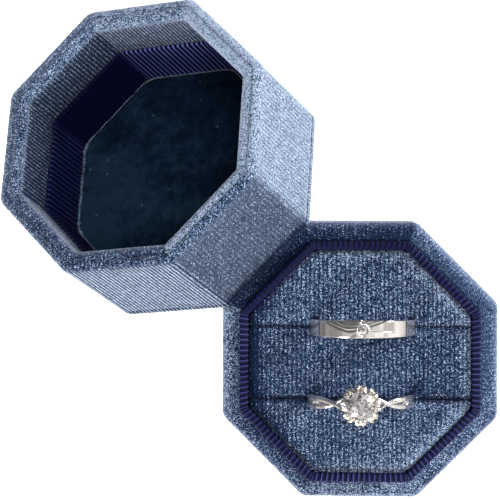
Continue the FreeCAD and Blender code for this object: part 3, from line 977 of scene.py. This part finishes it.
def lid_pad_cord():
    """The frayed two-ply thread that lies round the pad's edge, with loose fibres standing off it."""
    count = 1400
    loop_angle = np.arange(count) * 2 * math.pi / count
    half = LID_PAD_HALF - 0.12
    low = np.zeros(count)
    high = np.full(count, half * 1.1)
    heading = np.stack([np.cos(loop_angle), np.sin(loop_angle)], axis=1)
    for _ in range(40):
        distance = (low + high) / 2
        within = octagon_depth(heading * distance[:, None], half, LID_PAD_CORNER) >= 0
        low = np.where(within, distance, low)
        high = np.where(within, high, distance)
    line = np.c_[heading * distance[:, None], np.full(count, PAD_FACE_Z + 0.18)]
    line[:, 2] += 0.10 * smooth_noise(line, 1.5, 71)
    tangent = np.roll(line, -1, axis=0) - np.roll(line, 1, axis=0)
    tangent /= np.linalg.norm(tangent, axis=1)[:, None]
    up = np.array([0.0, 0.0, 1.0])
    side = np.cross(tangent, up)
    frayed = 0.04 + 0.96 * smoothstep(0.80, 0.95, -heading[:, 0])
    parts = []
    turns = 130
    for ply in (0, math.pi):
        swirl = np.arange(count) / count * turns * 2 * math.pi + ply
        spiral = np.cos(swirl)[:, None] * side + np.sin(swirl)[:, None] * up
        middle = line + (0.04 + 0.10 * frayed)[:, None] * spiral
        size = (0.035 + 0.04 * frayed) * (1 + 0.45 * smooth_noise(line + ply, 0.6, 72))
        turn = np.linspace(0, 2 * math.pi, 7, endpoint=False)
        rows = middle[:, None, :] + size[:, None, None] * (np.cos(turn)[None, :, None] * side[:, None, :]
                                                           + np.sin(turn)[None, :, None] * up)
        parts.append((rows.reshape(-1, 3), [list(q) for q in grid_quads(count, 7, True, True)]))
    chooser = np.random.default_rng(73)
    for k in range(0, count, 7):
        inward = np.array([-heading[k, 0], -heading[k, 1], 0.0])
        for away in (inward * 0.8 + up * 0.3, inward * 0.1 + up * 0.8):
            for _ in range(4):
                start = line[k] + chooser.normal(0, 0.06, 3)
                lean = away + tangent[k] * 0.8 + chooser.normal(0, 0.14, 3)
                lean /= np.linalg.norm(lean)
                across = np.cross(lean, up)
                across /= np.linalg.norm(across)
                deep = np.cross(lean, across)
                foot = [start + 0.12 * (across * math.cos(a) + deep * math.sin(a)) for a in (0, 2.1, 4.2)]
                tip = start + lean * frayed[k] * chooser.uniform(0.6, 1.1)
                parts.append((np.array(foot + [tip]), [[0, 1, 3], [1, 2, 3], [2, 0, 3], [0, 2, 1]]))
    points, faces = joined(parts)
    piece = make_piece("lid_pad_frayed_cord", place_lid(points), faces, "lid", THREAD, ["lid_pad_cord"])


# ---- rings ----
RING_STEPS = 720


def eased(x, places, heights):
    """A smooth curve through a few given places."""
    places = np.asarray(places, float)
    heights = np.asarray(heights, float)
    slopes = np.gradient(heights, places)
    x = np.clip(x, places[0], places[-1])
    k = np.clip(np.searchsorted(places, x) - 1, 0, len(places) - 2)
    width = places[k + 1] - places[k]
    t = (x - places[k]) / width
    return ((2 * t ** 3 - 3 * t ** 2 + 1) * heights[k] + (t ** 3 - 2 * t ** 2 + t) * width * slopes[k]
            + (3 * t ** 2 - 2 * t ** 3) * heights[k + 1] + (t ** 3 - t ** 2) * width * slopes[k + 1])


def round_ring(x0, y0, angles, radii, offsets):
    """Points round a ring whose bore runs along Y: angle from straight up, radius, and offset along Y."""
    return np.stack([x0 + radii * np.sin(angles), y0 + offsets, RING_Z + radii * np.cos(angles)], axis=-1)


def loft(rows, closed_ends=True):
    """Faces over rows of points that each go once round a section."""
    count, around = rows.shape[:2]
    faces = [list(q) for q in grid_quads(count, around, False, True)]
    if closed_ends:
        faces.append(list(range(around))[::-1])
        faces.append(list(range((count - 1) * around, count * around)))
    return rows.reshape(-1, 3), faces


def band_carving(x, y):
    """How deep the outside of the band is cut: two facet lines that cross at the stone."""
    left = x < 0
    upper = np.where(left, eased(x, [-8.4, -5.6, -3.2, 0], [1.5, 0.5, -0.35, -0.05]),
                     eased(x, [0, 2.2, 5.0, 6.0], [0.0, 0.75, 1.75, 2.1]))
    lower = np.where(left, eased(x, [-8.4, -5.5, -2.4, 0], [-1.62, -1.5, -1.15, -0.1]),
                     eased(x, [0, 2.8, 6.0, 8.4], [0.0, -0.2, -0.5, -1.3]))
    above = np.maximum(y - upper, 0)
    below = np.maximum(lower - y, 0)
    grooves = 0.10 * np.exp(-((y - upper - 0.18) / 0.20) ** 2)
    grooves += 0.03 * np.exp(-((y - upper - 0.80) / 0.15) ** 2)
    grooves += 0.10 * np.exp(-((y - lower + 0.08) / 0.09) ** 2) * smoothstep(1.0, 2.0, x)
    cut = 0.26 * above + 0.34 * below + grooves * smoothstep(7.6, 4.5, np.abs(x))
    notch = 0.35 * smoothstep(0.55, 0.25, np.hypot(x, y - 1.3))
    return (cut + notch) * smoothstep(8.6, 6.6, np.abs(x))


def band_ring():
    centre = (BAND[0] + BAND[1]) / 2
    outer = (BAND[1][0] - BAND[0][0]) / 2
    widest = (BAND[1][1] - BAND[0][1]) / 2
    bevel = 0.22
    across = np.linspace(-1, 1, 61)
    rows = []
    angles = np.arange(RING_STEPS) * 2 * math.pi / RING_STEPS
    for angle in angles:
        half = widest - 0.22 * math.sin(angle) ** 2
        y = across * (half - 0.02)
        x = outer * math.sin(angle)
        cut = band_carving(np.full_like(y, x), y) if math.cos(angle) > 0 else np.zeros_like(y)
        edge = rounded_drop(half - np.abs(y), bevel)
        outside = np.stack([y, outer - cut - edge], axis=1)
        y_in = np.linspace(half - 0.02, -half + 0.02, 17)
        inside = np.stack([y_in, RING_BORE + 0.12 * (y_in / half) ** 2], axis=1)
        section = np.concatenate([outside, inside])
        rows.append(round_ring(centre[0], centre[1], angle, section[:, 1], section[:, 0]))
    rows = np.array(rows)
    faces = grid_quads(rows.shape[0], rows.shape[1], True, True)
    piece = make_piece("band_ring_hoop", rows.reshape(-1, 3), faces, "band_ring", METAL, ["band_ring_shank"])
    top = RING_Z + outer
    setting = np.array([centre[0], centre[1], top - 0.05])
    stone_points, stone_faces = brilliant(1.0)
    stone = make_piece("band_ring_diamond", stone_points + setting, stone_faces, "band_ring", STONE,
                       ["band_ring_stone"], smooth=False)
    bead_rows = []
    for angle in np.linspace(0, 2 * math.pi, 96, endpoint=False):
        bead = 0.17 + 0.05 * abs(math.cos(2 * angle)) ** 6 + 0.02 * math.cos(16 * angle)
        turn = np.linspace(0, 2 * math.pi, 14, endpoint=False)
        reach = 1.1 + bead * np.cos(turn)
        bead_rows.append(np.stack([setting[0] + reach * math.cos(angle), setting[1] + reach * math.sin(angle),
                                   setting[2] + 0.02 + bead * np.sin(turn)], axis=1))
    bead_rows = np.array(bead_rows)
    collar = make_piece("band_ring_bead_setting", bead_rows.reshape(-1, 3), grid_quads(96, 14, True, True),
                        "band_ring", METAL, ["band_ring_beads"])


def brilliant(radius):
    """A round brilliant with its girdle at z = 0: table, star, kite and girdle facets, and a pavilion."""
    table = 0.56
    star = 0.78
    crown = 0.32
    pavilion = 0.80
    slant = math.cos(math.radians(22.5))
    points = [(0, 0, -pavilion)]
    for k in range(8):
        main = math.radians(45 * k)
        between = math.radians(45 * k + 22.5)
        points.append((table * math.cos(main), table * math.sin(main), crown))
        star_z = crown * (1 - star * slant) / (1 - table)
        points.append((star * math.cos(between), star * math.sin(between), star_z))
        low_z = -pavilion * (1 - 0.24 * slant)
        points.append((0.24 * math.cos(between), 0.24 * math.sin(between), low_z))
    for k in range(16):
        angle = math.radians(22.5 * k)
        for z in (-0.02, 0.02):
            points.append((math.cos(angle), math.sin(angle), z))
    shape = bmesh.new()
    for point in points:
        shape.verts.new(Vector(point) * radius)
    bmesh.ops.convex_hull(shape, input=shape.verts)
    bmesh.ops.dissolve_limit(shape, angle_limit=0.02, verts=shape.verts, edges=shape.edges)
    shape.verts.index_update()
    corners = np.array([tuple(v.co) for v in shape.verts])
    faces = [[v.index for v in f.verts] for f in shape.faces]
    shape.free()
    return corners, faces


def ring_strand(centre, angles, radii, offsets, widths, depths, count=20):
    """A rounded strand along the ring: half widths along Y and half depths along the radius."""
    turn = np.linspace(0, 2 * math.pi, count, endpoint=False)
    rows = []
    for angle, radius, offset, width, depth in zip(angles, radii, offsets, widths, depths):
        across = width * np.sign(np.cos(turn)) * np.abs(np.cos(turn)) ** 0.8
        through = depth * np.sign(np.sin(turn)) * np.abs(np.sin(turn)) ** 0.8
        rows.append(round_ring(centre[0], centre[1], angle, radius + through, offset + across))
    return loft(np.array(rows))


def joined(parts):
    points = []
    faces = []
    start = 0
    for part_points, part_faces in parts:
        points.append(part_points)
        faces += [[i + start for i in face] for face in part_faces]
        start += len(part_points)
    return np.concatenate(points), faces


SOLO_GIRDLE = 46.6
SOLO_STONE = 2.75
PETALS = 8


def solitaire_hoop(centre, outer):
    """The plain lower hoop and, at each shoulder, two strands that cross once on their way to the head."""
    middle = (RING_BORE + outer) / 2
    steps = 220
    below = np.linspace(math.radians(62), math.radians(298), steps)
    taper = eased(np.degrees(below), [62, 110, 180, 250, 298], [1.22, 1.1, 1.0, 1.1, 1.22])
    parts = [ring_strand(centre, below, np.full(steps, middle), np.zeros(steps), taper,
                         np.full(steps, (outer - RING_BORE) / 2), 28)]
    for side in (-1, 1):
        for over in (-1, 1):
            beside = np.linspace(2.2, 9.6, 90)
            angles = side * np.arcsin(beside / (middle + 0.2))
            offsets = -side * over * eased(beside, [2.2, 3.4, 5.0, 7.4, 9.6], [-1.3, -0.95, 0, 0.66, 0.72])
            lift = over * 0.26 * np.exp(-((beside - 5.3) / 1.2) ** 2)
            radii = middle + 0.15 + lift + 0.25 * smoothstep(6, 8.5, beside)
            widths = eased(beside, [2.2, 4.5, 6.5, 9.6], [0.32, 0.38, 0.52, 0.60])
            depths = eased(beside, [2.2, 4.5, 6.5, 9.6], [0.30, 0.36, 0.45, 0.55])
            parts.append(ring_strand(centre, angles, radii, offsets, widths, depths))
    return joined(parts)


def head_rod(centre, places, radii, angle, count=10):
    """A tapered rod in the upright plane at that angle: places are (distance out, height) pairs."""
    out = np.array([math.cos(angle), math.sin(angle), 0])
    side = np.array([-out[1], out[0], 0])
    steps = np.linspace(0, len(places) - 1, 26)
    reach = eased(steps, range(len(places)), [p[0] for p in places])
    height = eased(steps, range(len(places)), [p[1] for p in places])
    size = eased(steps, range(len(places)), radii)
    swing = eased(steps, range(len(places)), [p[2] for p in places])
    line = np.outer(reach, out) + np.outer(swing, side) + np.c_[np.zeros((26, 2)), height]
    tangent = np.gradient(line, axis=0)
    tangent /= np.linalg.norm(tangent, axis=1)[:, None]
    lift = np.cross(tangent, side)
    turn = np.linspace(0, 2 * math.pi, count, endpoint=False)
    rows = [line[k] + size[k] * (np.outer(np.cos(turn), side) + np.outer(np.sin(turn), lift[k]))
            for k in range(len(line))]
    return loft(np.array(rows) + np.array([centre[0], centre[1], 0]))


def head_petals(centre):
    """A ring of cupped, pointed petals round the stone."""
    columns = PETALS * 40
    inner = SOLO_STONE - 0.15
    angles = np.arange(columns) * 2 * math.pi / columns
    wave = np.abs(np.cos(PETALS / 2 * angles))
    notch = smoothstep(0.90, 1.0, wave)
    rim = 3.45 + 0.45 * smoothstep(0.10, 0.75, wave) - 0.20 * notch
    fold = 1 - wave
    ridge = np.abs(np.sin(PETALS * 2 * angles))
    rows = []
    for part in np.linspace(0, 1, 10):
        reach = inner + (rim - inner) * part
        height = SOLO_GIRDLE - 0.15 - 0.55 * part ** 1.4 - 0.60 * fold * part + 0.34 * ridge * part
        rows.append(np.stack([reach * np.cos(angles), reach * np.sin(angles), height], axis=1))
    for part in np.linspace(1, 0, 10):
        reach = inner - 0.25 + (rim - inner) * part + 0.2 * part
        height = SOLO_GIRDLE - 0.50 - 0.75 * part ** 1.4 - 0.60 * fold * part + 0.34 * ridge * part
        rows.append(np.stack([reach * np.cos(angles), reach * np.sin(angles), height], axis=1))
    points = np.array(rows).reshape(-1, 3) + np.array([centre[0], centre[1], 0])
    return points, [list(q) for q in grid_quads(20, columns, True, True)]


def solitaire_ring():
    centre = (SOLO[0] + SOLO[1]) / 2
    outer = (SOLO[1][0] - SOLO[0][0]) / 2
    points, faces = solitaire_hoop(centre, outer)
    piece = make_piece("solitaire_twist_shank", points, faces, "solitaire_ring", METAL, ["solitaire_shank"])
    basket = [head_petals(centre)]
    for k in range(PETALS):
        angle = math.radians(45 * k + 22.5)
        basket.append(head_rod(centre, [(0.9, 43.6, 0), (1.9, 44.5, 0), (2.6, 45.4, 0), (2.95, 46.0, 0)],
                               [0.32, 0.26, 0.24, 0.2], angle))
    points, faces = joined(basket)
    piece = make_piece("solitaire_petal_basket", points, faces, "solitaire_ring", HEAD_METAL,
                       ["solitaire_basket"])
    claws = []
    for k in range(PETALS):
        for lean in (-1, 1):
            angle = math.radians(45 * k)
            claws.append(head_rod(centre, [(3.55, 45.3, 0.30 * lean), (3.85, 46.1, 0.46 * lean),
                                           (3.35, 46.75, 0.58 * lean), (2.66, 46.98, 0.66 * lean)],
                                  [0.16, 0.20, 0.17, 0.10], angle))
    points, faces = joined(claws)
    piece = make_piece("solitaire_leaf_claws", points, faces, "solitaire_ring", HEAD_METAL,
                       ["solitaire_claws"])
    points, faces = brilliant(SOLO_STONE)
    setting = np.array([centre[0], centre[1], SOLO_GIRDLE])
    piece = make_piece("solitaire_diamond", points + setting, faces, "solitaire_ring", STONE,
                       ["solitaire_stone"],
                       smooth=False)


# ---- carried-over CAD nodes ----
def finish_nodes():
    looks = {
        "board": BOARD,
        "card": BOARD,
        "foam": FOAM,
        "underside_paper": UNDERSIDE,
        "white_metal": METAL,
        "stone": STONE,
        "velvet": VELVET,
        "dark_velvet": DARK_VELVET,
        "ribbon": RIBBON_NAVY,
        "thread": THREAD,
    }
    for part in frame["record"]["subparts"]:
        node = frame["nodes"][part["node"]]
        node.data.materials.clear()
        node.data.materials.append(looks[part["material_slot"]])


# ---- studio ----
SKY_SLOPE = (0.42, -1.0, 0.0)   # the room is brighter to the right of the box and in front of it
SKY_LEVEL = 0.82


def area_light(name, place_mm, target_mm, size_mm, power, colour=(1, 1, 1)):
    light = bpy.data.lights.new(name, "AREA")
    light.shape = "DISK"
    light.size = size_mm * MM
    light.energy = power
    light.color = colour
    lamp = bpy.data.objects.new(name, light)
    bpy.context.scene.collection.objects.link(lamp)
    lamp.location = Vector(place_mm) * MM
    lamp.rotation_mode = "QUATERNION"
    lamp.visible_glossy = name != "overhead"
    lamp.rotation_quaternion = (Vector(target_mm) - Vector(place_mm)).to_track_quat("-Z", "Y")


def studio():
    floor_mesh = bpy.data.meshes.new("floor")
    reach = 3000 * MM
    corners = [(-reach, -reach, 0), (reach, -reach, 0), (reach, reach, 0), (-reach, reach, 0)]
    floor_mesh.from_pydata(corners, [], [(0, 1, 2, 3)])
    floor = bpy.data.objects.new("floor", floor_mesh)
    bpy.context.scene.collection.objects.link(floor)
    material, tree, shader = new_material("pale_floor")
    set_inputs(shader, Roughness=0.9)
    shader.inputs["Base Color"].default_value = (0.92, 0.92, 0.92, 1)
    shader.inputs["Emission Color"].default_value = (1, 1, 1, 1)
    shader.inputs["Emission Strength"].default_value = 0.75
    floor_mesh.materials.append(material)
    floor.visible_glossy = False
    world = bpy.data.worlds.new("studio")
    bpy.context.scene.world = world
    world.use_nodes = True
    tree = world.node_tree
    sky = tree.nodes.new("ShaderNodeTexCoord").outputs["Generated"]
    slope = tree.nodes.new("ShaderNodeVectorMath")
    slope.operation = "DOT_PRODUCT"
    slope.inputs[1].default_value = SKY_SLOPE
    tree.links.new(sky, slope.inputs[0])
    panels = tree.nodes.new("ShaderNodeTexNoise")
    panels.inputs["Scale"].default_value = 3.2
    panels.inputs["Detail"].default_value = 1.0
    tree.links.new(sky, panels.inputs["Vector"])
    patch = math_node(tree, "MULTIPLY_ADD", panels.outputs["Fac"], 2.4, -0.7)
    bright = math_node(tree, "MAXIMUM", math_node(tree, "ADD", slope.outputs["Value"], SKY_LEVEL), 0.06)
    bright = math_node(tree, "MULTIPLY", bright, math_node(tree, "MAXIMUM", patch, 0.15))
    tint = ramp_node(tree, bright, [(0.0, (0.0, 0.0, 0.0)), (1.0, (1.0, 0.965, 0.93))])
    background = tree.nodes["Background"]
    tree.links.new(tint, background.inputs["Color"])
    background.inputs["Strength"].default_value = 1.0
    area_light("right_window", (620, 330, 320), (0, 10, 20), 300, 7.0)
    area_light("front_window", (-360, -600, 330), (0, 10, 20), 300, 5.4)
    area_light("overhead", (60, 60, 800), (-20, 20, 20), 300, 3.5)


def camera():
    data = bpy.data.cameras.new("camera")
    data.sensor_width = 36
    data.lens = 168.28
    data.clip_start = 0.01
    data.clip_end = 20
    eye = bpy.data.objects.new("camera", data)
    bpy.context.scene.collection.objects.link(eye)
    eye.location = Vector((-1.244, 33.229, RIM_Z + 457.64)) * MM
    turn = Vector((-0.025967, 0.044481, 0.003523))
    eye.rotation_mode = "QUATERNION"
    eye.rotation_quaternion = Quaternion(turn.normalized(), turn.length)
    bpy.context.scene.camera = eye


finish_nodes()
base_cover()
collar_band()
cushion_pad("cushion_back_pad", SLOT_BACK, None, BAND, None, 101, 0.0, (0.0, 0.0))
cushion_pad("cushion_middle_pad", SLOT_FRONT, SLOT_BACK, SOLO, BAND, 111, 0.7, (-0.08, -0.14))
cushion_pad("cushion_front_pad", None, SLOT_FRONT, None, SOLO, 121, 0.0, (0.0, 0.14))
lid_cover()
lid_end()
lid_liner()
lid_pad()
lid_pad_cord()
band_ring()
solitaire_ring()
studio()
camera()
bpy.context.scene.view_settings.view_transform = "Standard"
